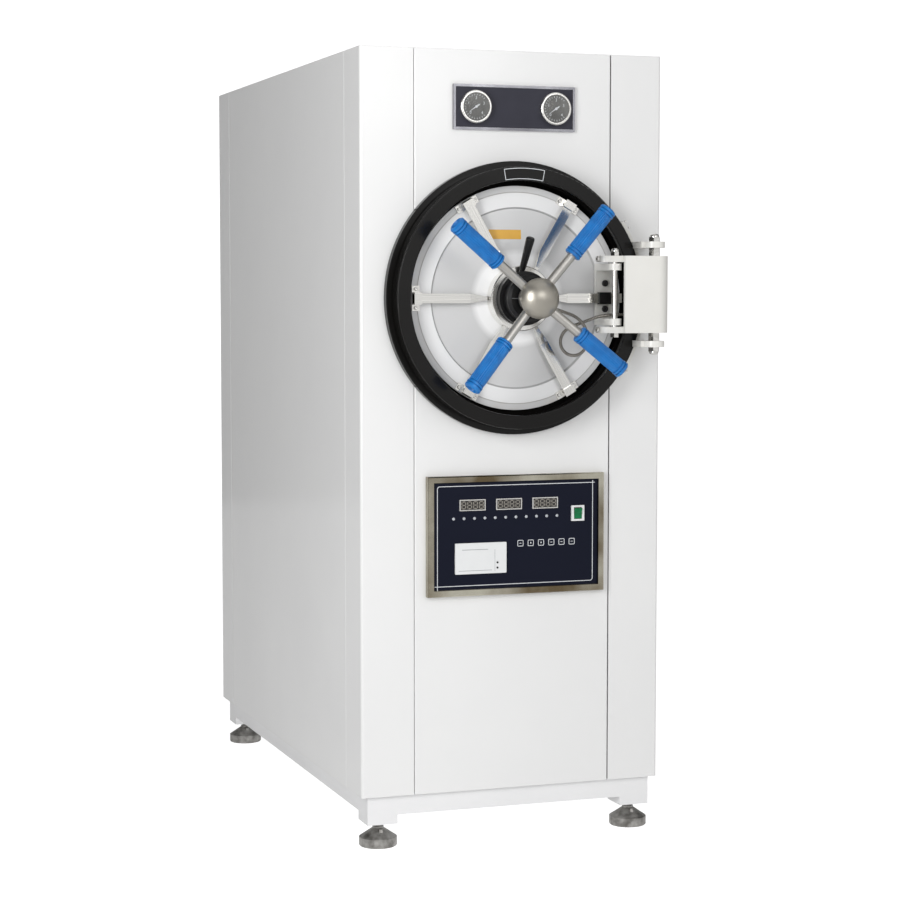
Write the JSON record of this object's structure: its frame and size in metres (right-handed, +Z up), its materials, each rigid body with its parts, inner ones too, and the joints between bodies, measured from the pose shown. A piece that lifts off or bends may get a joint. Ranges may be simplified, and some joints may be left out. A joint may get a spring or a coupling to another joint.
{
  "type": "horizontal autoclave",
  "caption": "Floor-standing horizontal steam autoclave: tall sheet-metal cabinet with a round swinging door, radial locking bars, a handwheel, gauges and a control panel.",
  "frame": {"origin": "on the floor, under the middle of the whole machine", "axes": "+X to the right as seen from the front, +Y to the back, +Z up"},
  "size_m": [0.67, 1.4176, 1.661],
  "materials": {
    "cabinet_white": "gloss",
    "base_grey": "satin",
    "foot_steel": "satin",
    "stand_grey": "matt",
    "chamber_steel": "brushed",
    "gasket_rubber": "matt",
    "gloss_black": "gloss",
    "hinge_white": "gloss",
    "bright_steel": "bright",
    "trim_steel": "brushed",
    "slate_grey": "satin",
    "fascia_navy": "satin",
    "display_black": "gloss",
    "printer_white": "satin",
    "rocker_green": "gloss",
    "door_steel": "satin",
    "black_plastic": "satin",
    "conduit_metal": "ribbed",
    "grip_blue": "gloss"
  },
  "bodies": {
    "cabinet": {"base_frame": "base_grey", "levelling_feet": "foot_steel", "front_left_post": "cabinet_white", "front_right_post": "cabinet_white", "rear_left_post": "cabinet_white", "rear_right_post": "cabinet_white", "upper_front_panel": "cabinet_white", "lower_front_panel": "cabinet_white", "left_side_panel": "cabinet_white", "right_side_panel": "cabinet_white", "rear_panel": "cabinet_white", "top_panel": "cabinet_white", "chamber_legs": "stand_grey", "chamber_saddles": "stand_grey", "chamber_shell": "chamber_steel", "chamber_back": "chamber_steel", "door_gasket": "gasket_rubber", "ring_flange": "gloss_black", "ring_sleeve": "gloss_black", "ring_lip": "gloss_black", "ring_hinge_bracket": "hinge_white", "outer_hinge_pin": "bright_steel", "gauge_frame": "trim_steel", "gauge_slate": "slate_grey", "left_gauge": "bright_steel", "right_gauge": "bright_steel", "control_surround": "trim_steel", "control_fascia": "fascia_navy", "displays": "display_black", "printer": "printer_white", "switch_bezel": "printer_white"},
    "door": {"door_disc": "door_steel", "hub_collar": "bright_steel", "hub_cover": "black_plastic", "bar_guides": "bright_steel", "hinge_side_guide": "gloss_black", "door_hinge_bracket": "hinge_white", "hinge_arm": "hinge_white", "inner_hinge_pin": "bright_steel", "conduit_glands": "bright_steel", "sensor_conduit": "conduit_metal"},
    "lever": {"lever_ring": "black_plastic", "lever_grip": "black_plastic"},
    "handwheel": {"handwheel_spider": "bright_steel", "handwheel_grips": "grip_blue", "handwheel_cap": "bright_steel"},
    "bar_1": {"locking_bar_1": "bright_steel"},
    "bar_2": {"locking_bar_2": "bright_steel"},
    "bar_3": {"locking_bar_3": "bright_steel"},
    "bar_4": {"locking_bar_4": "bright_steel"},
    "bar_5": {"locking_bar_5": "bright_steel"},
    "bar_6": {"locking_bar_6": "bright_steel"},
    "rocker": {"power_rocker": "rocker_green"}
  },
  "joints": [
    {"name": "door_swing", "type": "hinge", "parent": "cabinet", "child": "door", "pos_m": [0.2778, -0.62725, 1.148], "axis": [0, 0, 1], "range_deg": [0, 105]},
    {"name": "lever_turn", "type": "hinge", "parent": "door", "child": "lever", "pos_m": [0, -0.52925, 1.148], "axis": [0, -1, 0], "range_deg": [0, 40]},
    {"name": "handwheel_turn", "type": "hinge", "parent": "door", "child": "handwheel", "pos_m": [0, -0.52925, 1.148], "axis": [0, -1, 0], "range_deg": [-720, 720]},
    {"name": "power_rocker_tilt", "type": "hinge", "parent": "cabinet", "child": "rocker", "pos_m": [0.1425, -0.54125, 0.693], "axis": [-1, 0, 0], "range_deg": [0, 18]},
    {"name": "bar_1_slide", "type": "slide", "parent": "door", "child": "bar_1", "axis": [1, 0, 0], "range_m": [0, 0.02]},
    {"name": "bar_2_slide", "type": "slide", "parent": "door", "child": "bar_2", "axis": [0.5, 0, 0.866], "range_m": [0, 0.02]},
    {"name": "bar_3_slide", "type": "slide", "parent": "door", "child": "bar_3", "axis": [-0.5, 0, 0.866], "range_m": [0, 0.02]},
    {"name": "bar_4_slide", "type": "slide", "parent": "door", "child": "bar_4", "axis": [-1, 0, 0], "range_m": [0, 0.02]},
    {"name": "bar_5_slide", "type": "slide", "parent": "door", "child": "bar_5", "axis": [-0.5, 0, -0.866], "range_m": [0, 0.02]},
    {"name": "bar_6_slide", "type": "slide", "parent": "door", "child": "bar_6", "axis": [0.5, 0, -0.866], "range_m": [0, 0.02]}
  ],
  "couplings": [
    {"joint": "bar_1_slide", "follows": "lever_turn", "m_per_rad": 0.0286},
    {"joint": "bar_2_slide", "follows": "lever_turn", "m_per_rad": 0.0286},
    {"joint": "bar_3_slide", "follows": "lever_turn", "m_per_rad": 0.0286},
    {"joint": "bar_4_slide", "follows": "lever_turn", "m_per_rad": 0.0286},
    {"joint": "bar_5_slide", "follows": "lever_turn", "m_per_rad": 0.0286},
    {"joint": "bar_6_slide", "follows": "lever_turn", "m_per_rad": 0.0286}
  ]
}
